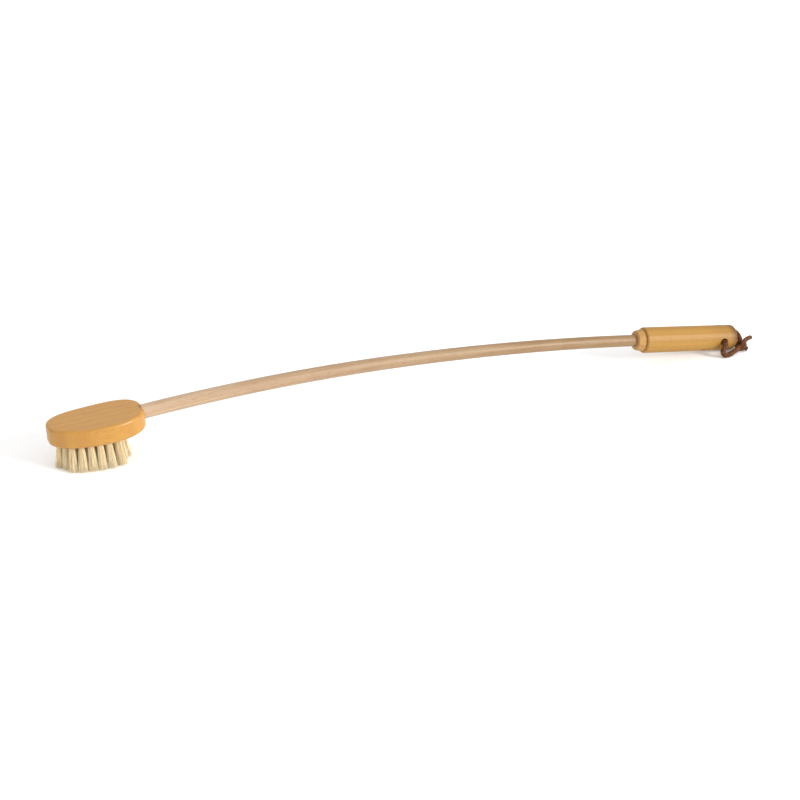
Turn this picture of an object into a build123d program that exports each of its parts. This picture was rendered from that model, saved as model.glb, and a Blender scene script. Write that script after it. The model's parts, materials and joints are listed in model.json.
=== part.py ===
"""Long-handled body dry brush: an oval wooden head set with bristle tufts, a bent
cane rod, a turned grip and a leather hanging loop. Millimetres, +Z up. The brush
lies on a table at Z = 0, bristles down, and the rod leaves the head towards +X."""

import os
from math import cos, pi, radians, sin, tan

from build123d import *

os.makedirs("parts", exist_ok=True)

# Head block: an oval, a little wider towards the handle and fuller on its +Y side
HEAD_LENGTH = 86.5
HEAD_WIDTH = 50.8
HEAD_THICKNESS = 17.3
NEAR_EXPONENT = 2.1  # the -Y half of the oval
FAR_EXPONENT = 3.0
HEAD_WIDENING = 0.1
HEAD_TOP_ROUND = 2.5
HEAD_FACE_ROUND = 3.6
HEAD_PITCH = 3.1  # degrees, the handle end is the higher one
OUTLINE_POINTS = 48

# Bristle tufts, set in blind holes by flat wire anchors
FIELD_CENTRE = -6.4
FIELD_LENGTH = 56.0  # between the outer hole centres of the middle row
FIELD_WIDTH = 30.0
FIELD_OVERRUN = 1.15  # the rows' ends stop short of the oval that they follow
ROW_PLACES = (-1.0, -0.5, 0.0, 0.5, 1.0)  # shares of the half width
ROW_TUFTS = (6, 7, 8, 7, 6)
HOLE_RADIUS = 2.6
HOLE_DEPTH = 5.0
TUFT_ROOT_RADIUS = 2.5
TUFT_TIP_RADIUS = 3.3
FAN_ALONG = 3.8  # degrees outward at the ends of the field
FAN_ACROSS = 5.5
TUFT_OVERRUN = 1.6  # head heights, before the cut at the table
BELOW_TABLE = (400.0, 400.0, 100.0)
ANCHOR_WIDTH = 6.4
ANCHOR_THICKNESS = 0.4
ANCHOR_HEIGHT = 1.6
ANCHOR_LIFT = 0.3  # off the bottom of the hole

# Rod: bent cane, thicker at the head, with a turned tenon
ROD_HEAD_RADIUS = 6.6
ROD_GRIP_RADIUS = 5.5
ROD_RISE = 3.5  # the rod's axis above the middle of the block's thickness
ROD_SEAT_DEPTH = 2.2
ROD_START_ANGLE = 5.13
ROD_BENDS = ((237.7, 6.93), (251.0, 5.8))  # length and downward turn of each arc
TENON_RADIUS = 3.3
TENON_LENGTH = 22.0
GLUE_GAP = 0.05
OVERCUT = 1.0  # how far a cut runs past what fills it
HEAD_DOWEL_RADIUS = 1.5
HEAD_DOWEL_PLACE = 31.5
HEAD_DOWEL_LENGTH = 14.8

# Grip: collar, sleeve and end plug on one straight axis
COLLAR_LENGTH = 8.0
COLLAR_NOSE_RADIUS = 9.5
COLLAR_RADIUS = 10.7
COLLAR_NOSE_ROUND = 1.5
GROOVE_WIDTH = 1.2
GROOVE_DEPTH = 1.0
SLEEVE_LENGTH = 101.0
SLEEVE_NECK_RADIUS = 12.4
SLEEVE_END_RADIUS = 12.1
SLEEVE_NECK_ROUND = 2.0
SLEEVE_END_ROUND = 4.0
ROD_IN_GRIP = 81.0
PLUG_LENGTH = 25.0
PLUG_HEAD_RADIUS = 7.6
PLUG_DOME_HEIGHT = 1.4
GRIP_DOWEL_RADIUS = 2.0
GRIP_DOWEL_LENGTH = 12.0
GRIP_DOWEL_PLACE = 36.0  # back from the far end
GRIP_DOWEL_ANGLE = 40.0  # from straight down towards the front
GRIP_DOWEL_PROUD = 0.1
GRIP_DOWEL_ROUND = 0.4

# Leather thong through the grip, knotted into a hanging loop
STRAP_HOLE_PLACE = 16.0
STRAP_HOLE_RADIUS = 3.4
STRAP_HOLE_EASE = 0.8
THONG_RADIUS = 2.5
THONG_BEND = 0.45  # share of the shorter run beside a corner that its arc takes
KNOT_RADIUS = 4.8
TAIL_RADIUS = 2.2


def sine_cosine(turn):
    """Sine and cosine of an angle in degrees."""
    return sin(radians(turn)), cos(radians(turn))


# The rod's arcs run down from the head, so its ends give the height of the head
grip_tilt = sum(turn for _, turn in ROD_BENDS) - ROD_START_ANGLE
grip_length = COLLAR_LENGTH + SLEEVE_LENGTH


def arc_step(angle, length, turn):
    """The run and rise of an arc that starts at an angle and turns down."""
    bend_radius = length / radians(turn)
    sin_0, cos_0 = sine_cosine(angle)
    sin_1, cos_1 = sine_cosine(angle - turn)
    return bend_radius * (sin_0 - sin_1), bend_radius * (cos_1 - cos_0)


rod_run = rod_rise = 0.0
angle = ROD_START_ANGLE
for length, turn in ROD_BENDS:
    run, rise = arc_step(angle, length, turn)
    rod_run += run
    rod_rise += rise
    angle -= turn

sin_tilt, cos_tilt = sine_cosine(grip_tilt)
end_height = (
    (SLEEVE_END_RADIUS - SLEEVE_END_ROUND) * cos_tilt
    + SLEEVE_END_ROUND
    - SLEEVE_END_ROUND * sin_tilt
)
rod_start_height = end_height + grip_length * sin_tilt - rod_rise
seat_x = HEAD_LENGTH / 2 - ROD_SEAT_DEPTH
sin_pitch, cos_pitch = sine_cosine(HEAD_PITCH)
head_height = rod_start_height - seat_x * sin_pitch - ROD_RISE * cos_pitch
head_frame = Location((0, 0, head_height), (0, -HEAD_PITCH, 0))
rod_start = Vector(seat_x * cos_pitch - ROD_RISE * sin_pitch, 0, rod_start_height)
grip_start = rod_start + Vector(rod_run, 0, rod_rise)
grip_frame = Location(grip_start, (0, grip_tilt, 0))
sleeve_end = grip_start + Vector(grip_length * cos_tilt, 0, -grip_length * sin_tilt)


def along_x(place, radius, length):
    """A cylinder along X that starts at a place on the X axis."""
    return Location((place, 0, 0), (0, 90, 0)) * Cylinder(
        radius, length, align=(Align.CENTER, Align.CENTER, Align.MIN)
    )


def upright(radius, length, tip_radius=None):
    """A cylinder or cone that stands on the origin."""
    stand = (Align.CENTER, Align.CENTER, Align.MIN)
    if tip_radius is None:
        return Cylinder(radius, length, align=stand)
    return Cone(radius, tip_radius, length, align=stand)


def oval_point(turn):
    """A point of the head's outline, at a turn in degrees."""
    sin_turn, cos_turn = sine_cosine(turn)
    power = 2 / (FAR_EXPONENT if sin_turn > 0 else NEAR_EXPONENT)
    x = abs(cos_turn) ** power * (1 if cos_turn > 0 else -1)
    y = abs(sin_turn) ** power * (1 if sin_turn > 0 else -1)
    return (HEAD_LENGTH / 2 * x, HEAD_WIDTH / 2 * y * (1 + HEAD_WIDENING * x))


def tuft_places():
    """For each row, the place of each tuft's hole and its outward fan, in degrees."""
    rows = []
    for share, count in zip(ROW_PLACES, ROW_TUFTS):
        step = FIELD_LENGTH / (max(ROW_TUFTS) - 1)
        row = []
        for i in range(count):
            along = (i - (count - 1) / 2) * step
            reach = 2 * along / (FIELD_LENGTH * FIELD_OVERRUN)
            bow = (1 - abs(reach) ** NEAR_EXPONENT) ** (1 / NEAR_EXPONENT)
            across = share * FIELD_WIDTH / 2 * bow * (1 + HEAD_WIDENING * reach)
            fan = (
                FAN_ALONG * along / (FIELD_LENGTH / 2),
                FAN_ACROSS * across / (FIELD_WIDTH / 2),
            )
            row.append((FIELD_CENTRE + along, across, fan))
        rows.append(row)
    return rows


def hole_frame(place):
    """The mouth of a tuft's hole, with Z pointing out of it along the tuft."""
    x, y, (along, across) = place
    mouth = Location((x, y, -HEAD_THICKNESS / 2), (180, 0, 0))
    return head_frame * mouth * Location((0, 0, 0), (across, along, 0))


def tenon_frame():
    """The rod's start, with X along the rod's first direction."""
    return Location(rod_start, (0, -ROD_START_ANGLE, 0))


def head_dowel_frame():
    """The mouth of the dowel's hole in the head's face, with Z going up."""
    return head_frame * Location((HEAD_DOWEL_PLACE, 0, -HEAD_THICKNESS / 2))


def make_head_block():
    turns = [360 * i / OUTLINE_POINTS for i in range(OUTLINE_POINTS)]
    outline = Spline([oval_point(turn) for turn in turns], periodic=True)
    block = extrude(make_face(outline), HEAD_THICKNESS)
    block = Location((0, 0, -HEAD_THICKNESS / 2)) * block
    block = fillet(block.edges().group_by(Axis.Z)[-1], HEAD_TOP_ROUND)
    block = fillet(block.edges().group_by(Axis.Z)[0], HEAD_FACE_ROUND)
    block = head_frame * block
    for row in tuft_places():
        for place in row:
            deep = Location((0, 0, -HOLE_DEPTH))
            block -= hole_frame(place) * deep * upright(HOLE_RADIUS, 2 * HOLE_DEPTH)
    seat = along_x(0, ROD_HEAD_RADIUS + GLUE_GAP, 2 * ROD_SEAT_DEPTH)
    socket = along_x(
        -TENON_LENGTH - OVERCUT, TENON_RADIUS + GLUE_GAP, TENON_LENGTH + 2 * OVERCUT
    )
    block -= tenon_frame() * seat
    block -= tenon_frame() * socket
    block -= head_dowel_frame() * Location((0, 0, -OVERCUT)) * upright(
        HEAD_DOWEL_RADIUS, HEAD_DOWEL_LENGTH + OVERCUT
    )
    return block


def make_tufts(row):
    """Each tuft as one plain solid, cut off level at the table."""
    solids = []
    reach = head_height * TUFT_OVERRUN
    spread = (TUFT_TIP_RADIUS - TUFT_ROOT_RADIUS) / (head_height - HEAD_THICKNESS / 2)
    for place in row:
        tip_radius = TUFT_ROOT_RADIUS + spread * reach
        tuft = upright(TUFT_ROOT_RADIUS, HOLE_DEPTH)
        flare = Location((0, 0, HOLE_DEPTH)) * upright(
            TUFT_ROOT_RADIUS, reach, tip_radius
        )
        tuft = hole_frame(place) * Location((0, 0, -HOLE_DEPTH)) * (tuft + flare)
        below = Location((0, 0, -BELOW_TABLE[2] / 2)) * Box(*BELOW_TABLE)
        solids.append(tuft - below)
    return solids


def make_anchors(row):
    """A flat wire across the bottom of each hole, its ends pressed into the wood."""
    solids = []
    for place in row:
        wire = Box(ANCHOR_THICKNESS, ANCHOR_WIDTH, ANCHOR_HEIGHT)
        depth = Location((0, 0, -HOLE_DEPTH + ANCHOR_HEIGHT / 2 + ANCHOR_LIFT))
        solids.append(hole_frame(place) * depth * wire)
    return solids


def rod_path():
    """The rod's centre line between the head and the grip, as tangent arcs."""
    at, pointing, path = (rod_start.X, rod_start.Z), ROD_START_ANGLE, []
    for length, turn in ROD_BENDS:
        sin_at, cos_at = sine_cosine(pointing)
        arc = JernArc(at, (cos_at, sin_at), length / radians(turn), -turn)
        end = arc @ 1
        at, pointing = (end.X, end.Y), pointing - turn
        path.append(Plane.XZ * arc)
    return path


def make_handle_rod():
    near_share = ROD_BENDS[0][0] / sum(length for length, _ in ROD_BENDS)
    middle_radius = ROD_HEAD_RADIUS + near_share * (ROD_GRIP_RADIUS - ROD_HEAD_RADIUS)
    radii = (ROD_HEAD_RADIUS, middle_radius, ROD_GRIP_RADIUS)
    rod = tenon_frame() * along_x(-TENON_LENGTH, TENON_RADIUS, TENON_LENGTH)
    for i, arc in enumerate(rod_path()):
        rings = [
            Plane(origin=arc @ 0, z_dir=arc % 0) * Circle(radii[i]),
            Plane(origin=arc @ 1, z_dir=arc % 1) * Circle(radii[i + 1]),
        ]
        rod += sweep(rings, path=arc, multisection=True)
    rod += grip_frame * along_x(0, ROD_GRIP_RADIUS, ROD_IN_GRIP)
    rod -= head_dowel_frame() * upright(HEAD_DOWEL_RADIUS, HEAD_DOWEL_LENGTH)
    rod -= grip_dowel_frame() * grip_dowel_hole()
    return rod


def make_head_dowel():
    return head_dowel_frame() * upright(HEAD_DOWEL_RADIUS, HEAD_DOWEL_LENGTH)


def turned(profile):
    """A solid of revolution about X, placed on the grip's axis."""
    return grip_frame * revolve(make_face(profile), Axis.X)


def make_grip_collar():
    bore = ROD_GRIP_RADIUS + GLUE_GAP
    round_ = COLLAR_NOSE_ROUND
    groove_start = COLLAR_LENGTH - GROOVE_WIDTH
    nose = (0, COLLAR_NOSE_RADIUS - round_)
    profile = Line((0, bore), nose)
    profile += RadiusArc(nose, (round_, COLLAR_NOSE_RADIUS), round_)
    profile += Polyline(
        (round_, COLLAR_NOSE_RADIUS),
        (groove_start, COLLAR_RADIUS),
        (groove_start, COLLAR_RADIUS - GROOVE_DEPTH),
        (COLLAR_LENGTH, COLLAR_RADIUS - GROOVE_DEPTH),
        (COLLAR_LENGTH, bore),
        (0, bore),
    )
    return turned(profile)


def cross_hole():
    """The thong's hole across the grip, with eased mouths."""
    place = grip_length - STRAP_HOLE_PLACE
    hole = Cylinder(STRAP_HOLE_RADIUS, 4 * SLEEVE_END_RADIUS)
    hole = Location((place, 0, 0), (90, 0, 0)) * hole
    for side in (-1, 1):
        mouth = Location((place, side * SLEEVE_END_RADIUS, 0), (-90 * side, 0, 0))
        hole += mouth * Location((0, 0, -STRAP_HOLE_EASE)) * upright(
            STRAP_HOLE_RADIUS, 3 * STRAP_HOLE_EASE, STRAP_HOLE_RADIUS + 3 * STRAP_HOLE_EASE
        )
    return hole


def grip_dowel_frame():
    """The grip dowel's outer end, with Z going in towards the grip's axis."""
    place = grip_length - GRIP_DOWEL_PLACE
    frame = grip_frame * Location((place, 0, 0), (-GRIP_DOWEL_ANGLE, 0, 0))
    return frame * Location((0, 0, -SLEEVE_END_RADIUS - GRIP_DOWEL_PROUD))


def grip_dowel_hole():
    return Location((0, 0, -OVERCUT)) * upright(GRIP_DOWEL_RADIUS, GRIP_DOWEL_LENGTH + OVERCUT)


def make_grip_dowel():
    dowel = upright(GRIP_DOWEL_RADIUS, GRIP_DOWEL_LENGTH)
    rim = dowel.edges().sort_by(Axis.Z)[0]
    return grip_dowel_frame() * fillet(rim, GRIP_DOWEL_ROUND)


def make_grip_sleeve():
    bore = ROD_GRIP_RADIUS + GLUE_GAP
    far = grip_length
    neck, end = SLEEVE_NECK_ROUND, SLEEVE_END_ROUND
    neck_start = (COLLAR_LENGTH, SLEEVE_NECK_RADIUS - neck)
    neck_end = (COLLAR_LENGTH + neck, SLEEVE_NECK_RADIUS)
    end_start = (far - end, SLEEVE_END_RADIUS)
    end_end = (far, SLEEVE_END_RADIUS - end)
    profile = Line((COLLAR_LENGTH, bore), neck_start)
    profile += RadiusArc(neck_start, neck_end, neck)
    profile += Line(neck_end, end_start)
    profile += RadiusArc(end_start, end_end, end)
    profile += Polyline(end_end, (far, bore), (COLLAR_LENGTH, bore))
    sleeve = turned(profile)
    sleeve -= grip_frame * cross_hole()
    sleeve -= grip_dowel_frame() * grip_dowel_hole()
    return sleeve


def make_end_plug():
    """A turned plug: a spigot in the sleeve's bore under a low domed head."""
    far = grip_length
    spigot = ROD_GRIP_RADIUS
    top = (far + PLUG_DOME_HEIGHT, 0)
    rim = (far, PLUG_HEAD_RADIUS)
    dome_radius = (PLUG_HEAD_RADIUS**2 + PLUG_DOME_HEIGHT**2) / (2 * PLUG_DOME_HEIGHT)
    profile = Polyline(top, (far - PLUG_LENGTH, 0), (far - PLUG_LENGTH, spigot), (far, spigot), rim)
    profile += RadiusArc(rim, top, dome_radius)
    return turned(profile) - grip_frame * cross_hole()


# The thong's route: along X from the sleeve's far end, Y, and height above the table
hole_height = end_height + STRAP_HOLE_PLACE * sin_tilt
hole_x = -STRAP_HOLE_PLACE * cos_tilt
KNOT_CENTRE = (4.7, -9.2, 5.4)
FRONT_ROUTE = [
    (hole_x, 0, hole_height),
    (hole_x, -15.4, hole_height),
    (-20.8, -17.8, 10.6),
    (-21.2, -18.2, 4.8),
    (-16.6, -18.4, 2.4),
    (-10.5, -17.6, 3.6),
    (-3.0, -14.4, 4.4),
    KNOT_CENTRE,
]
BACK_ROUTE = [
    (hole_x, 0, hole_height),
    (hole_x, 15.6, hole_height),
    (-10.5, 18.2, 15.0),
    (-2.5, 16.5, 15.5),
    (3.4, 10.4, 15.2),
    (6.6, 3.2, 13.6),
    (6.9, -3.4, 10.2),
    KNOT_CENTRE,
]
LONG_TAIL = [(11.5, -3.0, 5.6), (18.5, 3.0, 5.2), (25.0, 7.0, 4.2)]
SHORT_TAIL = [(7.2, -11.6, 3.7), (9.4, -13.6, 2.7)]


def on_table(point):
    return Vector(sleeve_end.X + point[0], point[1], point[2])


def make_thong(name, route, radius=THONG_RADIUS):
    """A round thong whose corners are arcs as large as their runs allow."""
    points = [on_table(point) for point in route]
    runs = [(b - a).length for a, b in zip(points, points[1:])]
    radii = []
    for i in range(1, len(points) - 1):
        turn = (points[i] - points[i - 1]).get_angle(points[i + 1] - points[i])
        radii.append(THONG_BEND * min(runs[i - 1], runs[i]) / tan(radians(turn / 2)))
    path = FilletPolyline(*points, radius=radii)
    tube = sweep(Plane(origin=path @ 0, z_dir=path % 0) * Circle(radius), path=path)
    print(name, "length", round(path.length, 1), "radii", [round(r, 1) for r in radii])
    share = tube.volume / (pi * radius**2 * path.length)
    print(name, "volume over section times length", round(share, 4))
    return tube


def make_knot():
    """The overhand knot as a lump, with the thong's two short ends."""
    centre = on_table(KNOT_CENTRE)
    knot = Location(centre) * Sphere(KNOT_RADIUS)
    for tail in (LONG_TAIL, SHORT_TAIL):
        knot += make_thong("tail", [KNOT_CENTRE, *tail], TAIL_RADIUS)
    return knot


def make_parts():
    parts = {
        "head_block": make_head_block(),
        "handle_rod": make_handle_rod(),
        "head_dowel": make_head_dowel(),
        "grip_collar": make_grip_collar(),
        "grip_sleeve": make_grip_sleeve(),
        "grip_dowel": make_grip_dowel(),
        "end_plug": make_end_plug(),
        "strap_front": make_thong("strap_front", FRONT_ROUTE),
        "strap_back": make_thong("strap_back", BACK_ROUTE),
        "strap_knot": make_knot(),
    }
    for number, row in enumerate(tuft_places(), start=1):
        parts[f"tufts_row_{number}"] = Compound(children=make_tufts(row))
        parts[f"tuft_anchors_row_{number}"] = Compound(children=make_anchors(row))
    return parts


def main():
    parts = make_parts()
    left = parts["head_block"].bounding_box().min.X
    right = parts["end_plug"].bounding_box().max.X
    centred = Location((-(left + right) / 2, 0, 0))
    back_centre = centred * head_frame * Location((0, 0, HEAD_THICKNESS / 2))
    hinge = centred * Location(on_table(FRONT_ROUTE[0]))
    print("length without the loop", right - left)
    print("head block centre", (centred * head_frame).position)
    print("middle of the head's back", back_centre.position)
    print("strap hinge", hinge.position)
    print("end of the sleeve", (centred * Location(sleeve_end)).position)
    for name, part in parts.items():
        export_step(centred * part, f"parts/{name}.step")


main()
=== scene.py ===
"""Looks of the long-handled body dry brush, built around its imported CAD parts."""
import json
import math
import random

import bmesh
import bpy
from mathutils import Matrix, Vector


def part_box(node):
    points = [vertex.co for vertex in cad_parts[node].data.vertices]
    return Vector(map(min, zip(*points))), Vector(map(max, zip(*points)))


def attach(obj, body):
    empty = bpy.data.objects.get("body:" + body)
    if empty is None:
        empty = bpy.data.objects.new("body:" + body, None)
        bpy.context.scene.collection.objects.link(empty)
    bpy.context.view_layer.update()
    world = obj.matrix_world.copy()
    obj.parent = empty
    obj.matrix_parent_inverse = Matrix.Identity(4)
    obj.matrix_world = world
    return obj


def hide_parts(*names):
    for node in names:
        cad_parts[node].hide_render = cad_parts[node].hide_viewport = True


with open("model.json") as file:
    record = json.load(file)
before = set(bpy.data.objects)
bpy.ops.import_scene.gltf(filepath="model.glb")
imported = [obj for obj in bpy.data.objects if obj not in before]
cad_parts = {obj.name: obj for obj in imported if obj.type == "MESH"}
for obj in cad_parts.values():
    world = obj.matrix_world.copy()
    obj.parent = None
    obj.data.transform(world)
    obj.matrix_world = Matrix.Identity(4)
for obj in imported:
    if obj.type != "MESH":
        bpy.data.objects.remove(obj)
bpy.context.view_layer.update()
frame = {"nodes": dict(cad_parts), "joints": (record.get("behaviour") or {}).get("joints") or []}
nodes = frame["nodes"]

MM = 0.001
THONG_RADIUS = 2.5 * MM
STRAP_HOLE_PLACE = 16.0 * MM  # from the hole's middle to the sleeve's end, along the grip
GRIP_TILT = math.radians(7.6)
HINGE = Vector(next(j for j in frame["joints"] if j["name"] == "strap_swing")["pos_m"])
SLEEVE_END_X = HINGE.x + STRAP_HOLE_PLACE * math.cos(GRIP_TILT)
SLEEVE_LOW, SLEEVE_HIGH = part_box("grip_sleeve")
HEAD_END_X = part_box("head_block")[1].x


# ---------------------------------------------------------------- camera
CAMERA_LENS = 97.79
CAMERA_DISTANCE = 2.0
CAMERA_AZIMUTH = math.radians(22.47)
CAMERA_ELEVATION = math.radians(25.27)
CAMERA_TARGET = Vector((SLEEVE_END_X - 0.35064, 0.0, 0.0068))


def add_camera():
    data = bpy.data.cameras.new("camera")
    data.sensor_width = 36.0
    data.lens = CAMERA_LENS
    cam = bpy.data.objects.new("camera", data)
    bpy.context.scene.collection.objects.link(cam)
    level = math.cos(CAMERA_ELEVATION)
    back = Vector((
        -math.sin(CAMERA_AZIMUTH) * level,
        -math.cos(CAMERA_AZIMUTH) * level,
        math.sin(CAMERA_ELEVATION),
    ))
    cam.location = CAMERA_TARGET + CAMERA_DISTANCE * back
    cam.rotation_mode = "QUATERNION"
    cam.rotation_quaternion = (-back).to_track_quat("-Z", "Y")
    bpy.context.scene.camera = cam


# ---------------------------------------------------------------- the thong's route
# X from the sleeve's end, Y, and height, in millimetres. The bends take more points than
# the CAD thong's route, so that the curve isn't pinched there
HOLE = ((HINGE.x - SLEEVE_END_X) / MM, HINGE.z / MM)
KNOT_CENTRE = (4.7, -9.2, 5.4)
FRONT_ROUTE = [
    (HOLE[0], 0, HOLE[1]),
    (HOLE[0], -10.0, HOLE[1]),
    (-16.6, -17.6, 13.0),
    (-21.4, -18.6, 8.4),
    (-19.6, -18.8, 2.7),
    (-13.0, -18.4, 2.5),
    (-8.0, -16.8, 3.9),
    (-3.0, -14.4, 4.4),
    KNOT_CENTRE,
]
BACK_ROUTE = [
    (HOLE[0], 0, HOLE[1]),
    (HOLE[0], 9.5, HOLE[1]),
    (-15.2, 17.0, 14.0),
    (-10.0, 19.6, 15.0),
    (-3.5, 17.8, 15.5),
    (3.0, 11.4, 15.3),
    (6.6, 3.6, 13.6),
    (6.9, -3.4, 10.2),
    KNOT_CENTRE,
]
LONG_TAIL = [KNOT_CENTRE, (11.5, -3.0, 5.6), (18.5, 3.0, 5.2), (25.0, 7.0, 4.2)]
SHORT_TAIL = [KNOT_CENTRE, (7.2, -11.6, 3.7), (9.4, -13.6, 2.7)]


def on_table(point):
    return Vector((SLEEVE_END_X + point[0] * MM, point[1] * MM, point[2] * MM))


# ---------------------------------------------------------------- materials
def srgb(red, green, blue):
    """A display colour, 0 to 255 a channel, as the linear colour that shaders take."""
    def linear(value):
        value /= 255
        return value / 12.92 if value <= 0.04045 else ((value + 0.055) / 1.055) ** 2.4
    return (linear(red), linear(green), linear(blue), 1.0)


class Shader:
    """A material's node tree, with short ways to add and join nodes."""

    def __init__(self, name):
        self.material = bpy.data.materials.new(name)
        self.material.use_nodes = True
        self.tree = self.material.node_tree
        self.bsdf = self.tree.nodes["Principled BSDF"]

    def node(self, kind, settings=None, **inputs):
        made = self.tree.nodes.new(kind)
        for key, value in (settings or {}).items():
            setattr(made, key, value)
        for key, value in inputs.items():
            self.put(made.inputs[key.replace("_", " ")], value)
        return made

    def put(self, socket, value):
        if isinstance(value, bpy.types.NodeSocket):
            self.tree.links.new(value, socket)
        else:
            socket.default_value = value

    def set(self, **inputs):
        for key, value in inputs.items():
            self.put(self.bsdf.inputs[key.replace("_", " ")], value)

    def place(self, scale, offset=(0, 0, 0)):
        """Object coordinates stretched by a scale for each axis."""
        coordinates = self.node("ShaderNodeTexCoord").outputs["Object"]
        mapping = self.node("ShaderNodeMapping", Vector=coordinates)
        mapping.inputs["Scale"].default_value = scale
        mapping.inputs["Location"].default_value = offset
        return mapping.outputs["Vector"]

    def noise(self, vector, scale=1.0, detail=3.0, rough=0.55, distortion=0.0):
        made = self.node("ShaderNodeTexNoise", Vector=vector, Scale=scale, Detail=detail, Roughness=rough)
        made.inputs["Distortion"].default_value = distortion
        return made.outputs["Fac"]

    def math(self, operation, a, b):
        made = self.tree.nodes.new("ShaderNodeMath")
        made.operation = operation
        self.put(made.inputs[0], a)
        self.put(made.inputs[1], b)
        return made.outputs[0]

    def ranged(self, value, low, high, to_low=0.0, to_high=1.0):
        made = self.node("ShaderNodeMapRange", Value=value)
        made.inputs["From Min"].default_value = low
        made.inputs["From Max"].default_value = high
        made.inputs["To Min"].default_value = to_low
        made.inputs["To Max"].default_value = to_high
        return made.outputs["Result"]

    def mix(self, share, a, b, blend="MIX"):
        made = self.tree.nodes.new("ShaderNodeMix")
        made.data_type = "RGBA"
        made.blend_type = blend
        self.put(made.inputs["Factor"], share)
        self.put(made.inputs["A"], a)
        self.put(made.inputs["B"], b)
        return made.outputs["Result"]

    def bump(self, height, strength, distance):
        made = self.node("ShaderNodeBump", Height=height, Strength=strength, Distance=distance)
        return made.outputs["Normal"]


STREAK_BOW = 0.222  # per metre, close to half of the rod's mean curvature
STREAK_CREST_X = -0.02


def along_bend(shader, scale):
    """Object coordinates straightened, so that a streak roughly follows the rod's bow."""
    coordinates = shader.node("ShaderNodeTexCoord").outputs["Object"]
    parts = shader.node("ShaderNodeSeparateXYZ", Vector=coordinates).outputs
    away = shader.math("SUBTRACT", parts["X"], STREAK_CREST_X)
    drop = shader.math("MULTIPLY", shader.math("MULTIPLY", away, away), STREAK_BOW)
    joined = shader.node("ShaderNodeCombineXYZ", X=parts["X"], Y=parts["Y"])
    shader.put(joined.inputs["Z"], shader.math("ADD", parts["Z"], drop))
    mapping = shader.node("ShaderNodeMapping", Vector=joined.outputs["Vector"])
    mapping.inputs["Scale"].default_value = scale
    return mapping.outputs["Vector"]


def head_wood():
    """Honey-coloured hardwood under satin lacquer: growth rings, fibre streaks and short flecks."""
    s = Shader("head_wood")
    slow = s.place((14, 60, 60))
    warp = s.noise(slow, 1.0, 2.0)
    rings = s.node("ShaderNodeTexWave", {"wave_type": "BANDS", "bands_direction": "Y"})
    s.put(rings.inputs["Vector"], s.place((2.2, 26, 17), (0, 0.3, 0)))
    for key, value in (("Scale", 1.5), ("Distortion", 5.0), ("Detail", 2.0), ("Detail Scale", 0.7)):
        rings.inputs[key].default_value = value
    streaks = s.noise(s.place((45, 1500, 1100)), 1.0, 3.0, 0.6)
    flecks = s.ranged(s.noise(s.place((420, 3400, 2600)), 1.0, 1.0), 0.62, 0.70)
    colour = s.mix(warp, srgb(190, 138, 56), srgb(180, 125, 46))
    colour = s.mix(s.ranged(rings.outputs["Fac"], 0.1, 0.9, 0.0, 0.3), colour, srgb(162, 106, 36))
    colour = s.mix(s.ranged(streaks, 0.35, 0.7, 0.0, 0.5), colour, srgb(200, 150, 68))
    colour = s.mix(s.math("MULTIPLY", flecks, 0.45), colour, srgb(126, 76, 28))
    rough = s.ranged(s.math("ADD", streaks, flecks), 0.3, 1.1, 0.33, 0.5)
    height = s.math("SUBTRACT", streaks, s.math("MULTIPLY", flecks, 0.8))
    s.set(Base_Color=colour, Roughness=rough, Normal=s.bump(height, 0.25, 0.00012))
    s.set(Coat_Weight=0.15, Coat_Roughness=0.25)
    return s.material


def cane():
    """Peeled, sanded cane: pale, with long fibre lines that follow the bend."""
    s = Shader("cane")
    fibres = s.noise(along_bend(s, (10, 1500, 1500)), 1.0, 3.0, 0.65)
    bands = s.noise(along_bend(s, (3.0, 330, 330)), 1.0, 2.0, 0.5)
    blotch = s.noise(along_bend(s, (22, 60, 60)), 1.0, 2.0)
    pores = s.ranged(s.noise(along_bend(s, (160, 3600, 3600)), 1.0, 1.0), 0.62, 0.7)
    x = s.node("ShaderNodeSeparateXYZ", Vector=s.node("ShaderNodeTexCoord").outputs["Object"]).outputs["X"]
    towards_grip = s.ranged(x, HEAD_END_X, SLEEVE_LOW.x)
    colour = s.mix(s.math("POWER", towards_grip, 0.65), srgb(194, 168, 140), srgb(143, 114, 76))
    colour = s.mix(s.ranged(bands, 0.38, 0.62, 0.0, 0.8), colour, (0.84, 0.76, 0.69, 1), "MULTIPLY")
    colour = s.mix(s.ranged(fibres, 0.4, 0.72, 0.0, 0.9), colour, (1.13, 1.12, 1.1, 1), "MULTIPLY")
    colour = s.mix(s.ranged(blotch, 0.5, 0.75, 0.0, 0.7), colour, (0.86, 0.78, 0.7, 1), "MULTIPLY")
    colour = s.mix(s.math("MULTIPLY", pores, 0.8), colour, (0.6, 0.48, 0.38, 1), "MULTIPLY")
    height = s.math("SUBTRACT", fibres, s.math("MULTIPLY", pores, 0.7))
    s.set(Base_Color=colour, Roughness=s.ranged(fibres, 0.3, 0.7, 0.42, 0.56))
    s.set(Normal=s.bump(height, 0.35, 0.00012), Coat_Weight=0.08, Coat_Roughness=0.4)
    return s.material


END_DARK_LENGTH = 35 * MM  # from the sleeve's end to where the faint darkening starts
END_DARK_FAINT = 0.3
END_DARKEST_START = 11 * MM
END_DARKEST_FULL = 3 * MM
END_DARK_TINT = (0.3, 0.2, 0.13, 1)


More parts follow.
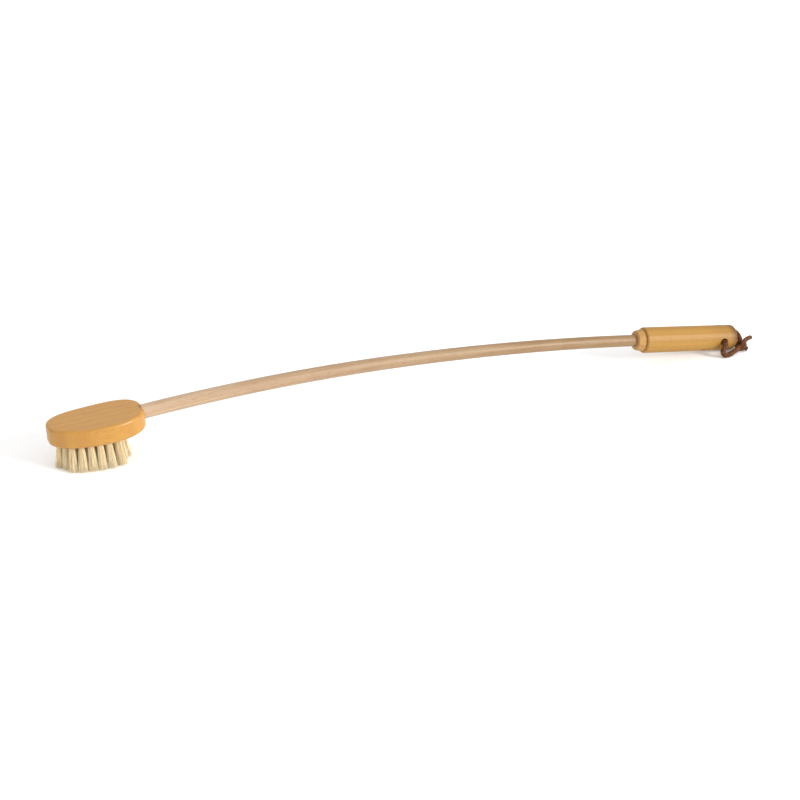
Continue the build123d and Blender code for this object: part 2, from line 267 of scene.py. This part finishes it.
def grip_wood(name, light, dark, end_dark=0.0, seed=0.0):
    """Satin turned wood with straight fibre lines along the grip."""
    s = Shader(name)
    tilt = math.tan(GRIP_TILT)
    coordinates = s.node("ShaderNodeTexCoord").outputs["Object"]
    parts = s.node("ShaderNodeSeparateXYZ", Vector=coordinates).outputs
    joined = s.node("ShaderNodeCombineXYZ", X=parts["X"], Y=parts["Y"])
    s.put(joined.inputs["Z"], s.math("ADD", parts["Z"], s.math("MULTIPLY", parts["X"], tilt)))

    def along(scale):
        mapping = s.node("ShaderNodeMapping", Vector=joined.outputs["Vector"])
        mapping.inputs["Scale"].default_value = scale
        mapping.inputs["Location"].default_value = (seed, seed, seed)
        return mapping.outputs["Vector"]

    fibres = s.noise(along((26, 2100, 2100)), 1.0, 3.0, 0.6)
    bands = s.noise(along((4, 260, 260)), 1.0, 1.5)
    pores = s.ranged(s.noise(along((330, 3800, 3800)), 1.0, 1.0), 0.63, 0.71)
    colour = s.mix(s.ranged(bands, 0.35, 0.65), light, dark)
    lighter = tuple(min(1.0, c * 1.18) for c in light[:3]) + (1.0,)
    darker = tuple(c * 0.45 for c in dark[:3]) + (1.0,)
    colour = s.mix(s.ranged(fibres, 0.4, 0.75, 0.0, 0.5), colour, lighter)
    # darker towards the sleeve's end: a faint fade over its last stretch, and darkest over its rounded end
    if end_dark:
        end = SLEEVE_HIGH.x
        to_end = s.ranged(parts["X"], end - END_DARK_LENGTH, end, 0.0, END_DARK_FAINT)
        darkest_end = s.ranged(parts["X"], end - END_DARKEST_START, end - END_DARKEST_FULL)
        end_darkening = s.math("MULTIPLY", s.math("MAXIMUM", to_end, darkest_end), end_dark)
        colour = s.mix(end_darkening, colour, END_DARK_TINT, "MULTIPLY")
    colour = s.mix(s.math("MULTIPLY", pores, 0.55), colour, darker)
    height = s.math("SUBTRACT", fibres, s.math("MULTIPLY", pores, 0.8))
    s.set(Base_Color=colour, Roughness=s.ranged(fibres, 0.3, 0.75, 0.46, 0.6))
    s.set(Normal=s.bump(height, 0.3, 0.0001), Coat_Weight=0.04, Coat_Roughness=0.4)
    s.bsdf.inputs["Specular IOR Level"].default_value = 0.35
    return s.material


def end_grain(name, light, dark, centre, axis_scale):
    """Sawn end of a turned piece: rings about its middle, with pores."""
    s = Shader(name)
    rings = s.node("ShaderNodeTexWave", {"wave_type": "RINGS", "rings_direction": "X"})
    offset = [-c * k for c, k in zip(centre, axis_scale)]
    s.put(rings.inputs["Vector"], s.place(axis_scale, offset))
    for key, value in (("Scale", 1.0), ("Distortion", 1.2), ("Detail", 2.0), ("Detail Scale", 1.4)):
        rings.inputs[key].default_value = value
    pores = s.ranged(s.noise(s.place((2600, 2600, 2600)), 1.0, 1.0), 0.6, 0.68)
    colour = s.mix(s.ranged(rings.outputs["Fac"], 0.2, 0.9), light, dark)
    colour = s.mix(s.math("MULTIPLY", pores, 0.5), colour, tuple(c * 0.5 for c in dark[:3]) + (1.0,))
    s.set(Base_Color=colour, Roughness=0.55, Normal=s.bump(s.math("SUBTRACT", 1.0, pores), 0.3, 0.0001))
    return s.material


def bristle():
    """Pale natural fibre, each strand a little different, darker and yellower near its root."""
    s = Shader("bristle")
    strands = s.noise(s.place((2300, 2300, 60)), 1.0, 1.0)
    patches = s.noise(s.place((130, 130, 40)), 1.0, 2.0)
    z = s.node("ShaderNodeSeparateXYZ", Vector=s.node("ShaderNodeTexCoord").outputs["Object"]).outputs["Z"]
    near_root = s.ranged(z, 0.006, 0.026)
    colour = s.mix(s.ranged(strands, 0.3, 0.7), srgb(246, 224, 178), srgb(255, 243, 212))
    colour = s.mix(s.ranged(patches, 0.4, 0.7, 0.0, 0.35), colour, srgb(240, 212, 158))
    colour = s.mix(s.math("MULTIPLY", near_root, 0.5), colour, srgb(224, 190, 130))
    s.set(Base_Color=colour, Roughness=0.5)
    return s.material


def leather(name, base, worn):
    """Dark brown greased thong: mottled, fine-grained, paler where it is rubbed."""
    s = Shader(name)
    mottle = s.noise(s.place((230, 230, 230)), 1.0, 4.0, 0.6)
    grain = s.node("ShaderNodeTexVoronoi", {"feature": "F1"})
    s.put(grain.inputs["Vector"], s.place((1700, 1700, 1700)))
    grain.inputs["Scale"].default_value = 1.0
    rubbed = s.ranged(s.noise(s.place((420, 420, 420), (5, 2, 1)), 1.0, 2.0), 0.52, 0.72)
    creases = s.noise(s.place((900, 900, 900)), 1.0, 3.0, 0.65, 1.5)
    colour = s.mix(s.ranged(mottle, 0.35, 0.7), base, tuple(c * 0.45 for c in base[:3]) + (1.0,))
    colour = s.mix(s.math("MULTIPLY", rubbed, 0.6), colour, worn)
    height = s.math("ADD", grain.outputs["Distance"], s.math("MULTIPLY", creases, 0.8))
    s.set(Base_Color=colour, Roughness=s.ranged(mottle, 0.3, 0.7, 0.55, 0.72))
    s.bsdf.inputs["Specular IOR Level"].default_value = 0.25
    s.set(Normal=s.bump(height, 0.5, 0.00025))
    return s.material


def wire():
    """Bright drawn steel."""
    s = Shader("anchor_wire")
    drawn = s.noise(s.place((2600, 90, 2600)), 1.0, 2.0)
    s.set(Base_Color=s.mix(drawn, (0.62, 0.62, 0.63, 1), (0.42, 0.42, 0.43, 1)), Metallic=1.0)
    s.set(Roughness=s.ranged(drawn, 0.3, 0.7, 0.25, 0.42))
    return s.material


# ---------------------------------------------------------------- mesh helpers
def add_object(name, mesh, material, smooth=True):
    obj = bpy.data.objects.new(name, mesh)
    bpy.context.scene.collection.objects.link(obj)
    mesh.materials.append(material)
    if smooth:
        mesh.shade_smooth()
    return obj


def mesh_from(name, verts, faces):
    mesh = bpy.data.meshes.new(name)
    mesh.from_pydata([tuple(v) for v in verts], [], faces)
    mesh.update()
    return mesh


def smooth_path(points, steps):
    """A line through the points, rounded as a Catmull-Rom spline."""
    path = []
    padded = [2 * points[0] - points[1], *points, 2 * points[-1] - points[-2]]
    for i in range(len(points) - 1):
        a, b, c, d = padded[i:i + 4]
        for step in range(steps):
            t = step / steps
            path.append(0.5 * (
                2 * b + (c - a) * t + (2 * a - 5 * b + 4 * c - d) * t**2
                + (3 * b - a - 3 * c + d) * t**3
            ))
    path.append(points[-1].copy())
    return path


def add_tube(verts, faces, path, radius_at, sides, cap_round=0.0):
    """Adds a closed tube along a path. radius_at gives the radius from 0 to 1 along it."""
    last = len(path) - 1
    tangents = [(path[min(i + 1, last)] - path[max(i - 1, 0)]).normalized() for i in range(last + 1)]
    side = tangents[0].orthogonal().normalized()
    rings = []
    for i, (point, tangent) in enumerate(zip(path, tangents)):
        side = (side - tangent * side.dot(tangent)).normalized()
        rings.append((point, tangent, side.copy(), radius_at(i / last)))
    if cap_round:
        point, tangent, side, radius = rings[-1]
        for turn in (30, 60, 80):
            bulge = math.radians(turn)
            out = point + tangent * cap_round * math.sin(bulge)
            rings.append((out, tangent, side, radius - cap_round * (1 - math.cos(bulge))))
    first = len(verts)
    for point, tangent, side, radius in rings:
        up = tangent.cross(side)
        for k in range(sides):
            turn = 2 * math.pi * k / sides
            verts.append(point + (side * math.cos(turn) + up * math.sin(turn)) * radius)
    for i in range(len(rings) - 1):
        for k in range(sides):
            a, b = first + i * sides + k, first + i * sides + (k + 1) % sides
            faces.append((a, b, b + sides, a + sides))
    faces.append(tuple(reversed(range(first, first + sides))))
    end = first + (len(rings) - 1) * sides
    faces.append(tuple(range(end, end + sides)))


# ---------------------------------------------------------------- the thong and its knot
TUBE_SIDES = 20
WRAP_RADIUS = 3.1 * MM
WRAP_TUBE = 2.4 * MM
WRAP_TURNS = 1.9
WRAP_PITCH = 3.7 * MM
WRAP_SQUEEZE = 0.62  # share of the pitch that is left once the wraps are drawn tight
WRAP_LEAN = 0.9 * MM
WRAP_LEAN_PHASE = 0.6
WRAP_TUCK = 7  # one over the share of the wrap that tucks in at each end
WRAP_TUCKED_SHARE = 0.25  # of the wrap's radius, at its tucked ends
WRAP_UNEVEN = 0.06
WRAP_UNEVEN_RATE = 9
WRAP_STEPS = 64
TAIL_STEPS = 10
TAIL_RADIUS = 2.3 * MM
TAIL_TAPER = 0.2 * MM
TAIL_END_ROUND = 0.4 * MM


def add_thong(name, route, material, node):
    """Half of the thong, as a smooth curve with the route's points as its control points."""
    curve = bpy.data.curves.new(name, "CURVE")
    curve.dimensions = "3D"
    spline = curve.splines.new("NURBS")
    spline.points.add(len(route) - 1)
    for control, point in zip(spline.points, route):
        control.co = (*on_table(point), 1.0)
    spline.order_u = 3
    spline.use_endpoint_u = True
    spline.resolution_u = 14
    curve.bevel_depth = THONG_RADIUS
    curve.bevel_resolution = 7
    curve.use_fill_caps = True
    curve.materials.append(material)
    obj = bpy.data.objects.new(name, curve)
    bpy.context.scene.collection.objects.link(obj)
    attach(obj, "strap")
    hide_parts(node)
    return obj


def wrap_radius(share):
    return WRAP_TUBE * (1 - WRAP_UNEVEN * math.sin(WRAP_UNEVEN_RATE * share))


def tail_radius(share):
    return TAIL_RADIUS - TAIL_TAPER * share


def add_knot(material):
    """The knot, as a tube wound the way that an overhand knot looks, and its two short ends."""
    centre = on_table(KNOT_CENTRE)
    from_front = (centre - on_table(FRONT_ROUTE[-2])).normalized()
    from_back = (centre - on_table(BACK_ROUTE[-2])).normalized()
    came = from_front + from_back
    axis = (came.normalized() + (on_table(LONG_TAIL[1]) - centre).normalized()).normalized()
    side = axis.cross(Vector((0, 0, 1))).normalized()
    up = side.cross(axis)
    verts, faces = [], []
    path = []
    for step in range(WRAP_STEPS + 1):
        share = step / WRAP_STEPS
        turn = 2 * math.pi * WRAP_TURNS * share
        tuck = min(1.0, share * WRAP_TUCK, (1 - share) * WRAP_TUCK)
        opened = (1 - WRAP_TUCKED_SHARE) * math.sin(tuck * math.pi / 2)
        radius = WRAP_RADIUS * (WRAP_TUCKED_SHARE + opened)
        shift = WRAP_PITCH * WRAP_TURNS * (share - 0.5) * WRAP_SQUEEZE
        lean = WRAP_LEAN * math.sin(turn + WRAP_LEAN_PHASE)
        around = side * math.cos(turn) + up * math.sin(turn)
        path.append(centre + axis * (shift + lean) + around * radius)
    add_tube(verts, faces, path, wrap_radius, TUBE_SIDES)
    for tail in (LONG_TAIL, SHORT_TAIL):
        line = smooth_path([on_table(point) for point in tail], TAIL_STEPS)
        add_tube(verts, faces, line, tail_radius, TUBE_SIDES, TAIL_END_ROUND)
    knot = add_object("knot", mesh_from("knot", verts, faces), material)
    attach(knot, "strap")
    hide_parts("strap_knot")
    return knot


def add_strap():
    brown = leather("strap_leather", srgb(92, 49, 15), srgb(140, 96, 52))
    knot = add_knot(brown)
    front = add_thong("thong_front", FRONT_ROUTE, brown, "strap_front")
    back = add_thong("thong_back", BACK_ROUTE, brown, "strap_back")


# ---------------------------------------------------------------- the bristles
STRANDS = 210
STRAND_RADIUS = 0.18 * MM
STRAND_SIDES = 4
ROOT_SPREAD = 2.25 * MM
BUNDLED_SHARE = 0.18  # of the tuft's length, along which its strands stay together
TUFT_FLARE = (1.9, 2.2)  # tip spread over root spread, least and most
TUFT_LEAN = 0.35 * MM
STRAND_STRAY = 0.32 * MM
STRAND_WAVE = 0.16 * MM
STRAND_CUT = 0.35 * MM
TABLE_GAP = 0.05 * MM
STRAND_PLACES = (0.0, 0.2, 0.45, 0.72, 1.0)
STRAND_TURN = 0.12  # radians
STRAND_OPENING = 1.6
STRAND_THICKNESS = (0.82, 1.12)  # times the usual radius, least and most
STRAND_TAPER = 0.35
GOLDEN_TURN = math.pi * (3 - math.sqrt(5))
ROOT_BAND = 0.8 * MM  # how far below a tuft's highest point its root end is gathered
TIP_BAND = 0.05 * MM
ROWS = range(1, 6)


def tuft_axes(node):
    """Where each tuft of a row starts in its hole and ends at the table."""
    bm = bmesh.new()
    bm.from_mesh(nodes[node].data)
    bmesh.ops.remove_doubles(bm, verts=bm.verts, dist=1e-6)
    left, axes = set(bm.verts), []
    while left:
        island, edge = set(), [left.pop()]
        while edge:
            vert = edge.pop()
            island.add(vert)
            for link in vert.link_edges:
                other = link.other_vert(vert)
                if other in left:
                    left.remove(other)
                    edge.append(other)
        places = [v.co.copy() for v in island]
        top, bottom = max(p.z for p in places), min(p.z for p in places)
        root = [p for p in places if p.z > top - ROOT_BAND]
        tip = [p for p in places if p.z < bottom + TIP_BAND]
        centres = []
        for group in (root, tip):
            low = [min(p[i] for p in group) for i in range(3)]
            high = [max(p[i] for p in group) for i in range(3)]
            centres.append((Vector(low) + Vector(high)) / 2)
        axes.append(tuple(centres))
    bm.free()
    return sorted(axes, key=lambda pair: pair[0].x)


def scatter(draw, spread):
    """A small random shift along the table."""
    return Vector((draw.gauss(0, spread), draw.gauss(0, spread), 0))


def add_tuft(verts, faces, root, tip, draw):
    """Strands that leave one hole as a tight bundle and part towards their trimmed tips."""
    axis = (tip - root).normalized()
    side = axis.cross(Vector((0, 1, 0))).normalized()
    up = axis.cross(side)
    length = (tip - root).length
    lean = scatter(draw, TUFT_LEAN)
    flare = draw.uniform(*TUFT_FLARE)
    for i in range(STRANDS):
        turn = i * GOLDEN_TURN + draw.gauss(0, STRAND_TURN)
        out = ROOT_SPREAD * math.sqrt((i + 0.5) / STRANDS)
        away = side * math.cos(turn) + up * math.sin(turn)
        stray = scatter(draw, STRAND_STRAY)
        wave = scatter(draw, STRAND_WAVE)
        cut = abs(draw.gauss(0, STRAND_CUT))
        path = []
        for t in STRAND_PLACES:
            open_share = max(0.0, t - BUNDLED_SHARE) / (1 - BUNDLED_SHARE)
            spread = out * (1 + (flare - 1) * open_share)
            point = root + axis * length * t + away * spread
            point += (lean + stray) * open_share**STRAND_OPENING + wave * math.sin(t * math.pi)
            path.append(point)
        direction = (path[-1] - path[-2]).normalized()
        path[-1] += direction * ((cut + TABLE_GAP - path[-1].z) / direction.z)
        thick = STRAND_RADIUS * draw.uniform(*STRAND_THICKNESS)
        add_tube(verts, faces, path, lambda share: thick * (1 - STRAND_TAPER * share**2), STRAND_SIDES)


def add_bristles():
    fibre = bristle()
    for row in ROWS:
        node = f"tufts_row_{row}"
        draw = random.Random(row)
        verts, faces = [], []
        for root, tip in tuft_axes(node):
            add_tuft(verts, faces, root, tip, draw)
        name = f"bristles_row_{row}"
        obj = add_object(name, mesh_from(name, verts, faces), fibre)
        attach(obj, "brush")
        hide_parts(node)


# ---------------------------------------------------------------- CAD pieces' materials
def finish_parts():
    bamboo = grip_wood("grip_bamboo", srgb(166, 124, 56), srgb(157, 113, 47), end_dark=0.9)
    collar = grip_wood("collar_wood", srgb(178, 136, 80), srgb(164, 120, 66), seed=3.0)
    plug = end_grain("plug_wood", srgb(176, 132, 74), srgb(148, 104, 54), (0, 0, 0.0115), (1, 420, 420))
    dowel = end_grain("dowel_wood", srgb(128, 98, 60), srgb(96, 68, 40), (0, 0, 0), (900, 900, 900))
    finishes = {
        "head_block": head_wood(),
        "handle_rod": cane(),
        "grip_sleeve": bamboo,
        "grip_collar": collar,
        "end_plug": plug,
        "head_dowel": dowel,
        "grip_dowel": dowel,
    }
    anchor = wire()
    for row in ROWS:
        finishes[f"tuft_anchors_row_{row}"] = anchor
    for name, material in finishes.items():
        for material_slot in nodes[name].material_slots:
            material_slot.material = material


# ---------------------------------------------------------------- floor and light
FLOOR_HALF = 12.0
FLOOR_GLOW = 0.15
WORLD_STRENGTH = 0.92
KEY_PLACE = (2.6, -2.9, 1.7)
KEY_TARGET = (-0.1, 0, 0)
KEY_SIZE = 1.2
KEY_POWER = 150


def add_floor():
    s = Shader("floor")
    s.set(Base_Color=(0.93, 0.93, 0.93, 1), Roughness=0.9)
    s.set(Emission_Color=(1.0, 1.0, 1.0, 1), Emission_Strength=FLOOR_GLOW)
    s.bsdf.inputs["Specular IOR Level"].default_value = 0.1
    corners = [(FLOOR_HALF * x, FLOOR_HALF * y, 0) for x, y in ((-1, -1), (1, -1), (1, 1), (-1, 1))]
    floor = add_object("floor", mesh_from("floor", corners, [(0, 1, 2, 3)]), s.material, False)


def add_area(name, place, target, size, power):
    data = bpy.data.lights.new(name, "AREA")
    data.shape = "SQUARE"
    data.size = size
    data.energy = power
    light = bpy.data.objects.new(name, data)
    bpy.context.scene.collection.objects.link(light)
    light.location = place
    light.rotation_mode = "QUATERNION"
    light.rotation_quaternion = (Vector(target) - Vector(place)).to_track_quat("-Z", "Y")


def add_light():
    world = bpy.data.worlds.new("studio")
    bpy.context.scene.world = world
    world.use_nodes = True
    background = world.node_tree.nodes["Background"]
    background.inputs["Color"].default_value = (1.0, 1.0, 1.0, 1)
    background.inputs["Strength"].default_value = WORLD_STRENGTH
    add_area("key", KEY_PLACE, KEY_TARGET, KEY_SIZE, KEY_POWER)
    bpy.context.scene.view_settings.view_transform = "Standard"


add_camera()
add_strap()
add_bristles()
finish_parts()
add_floor()
add_light()
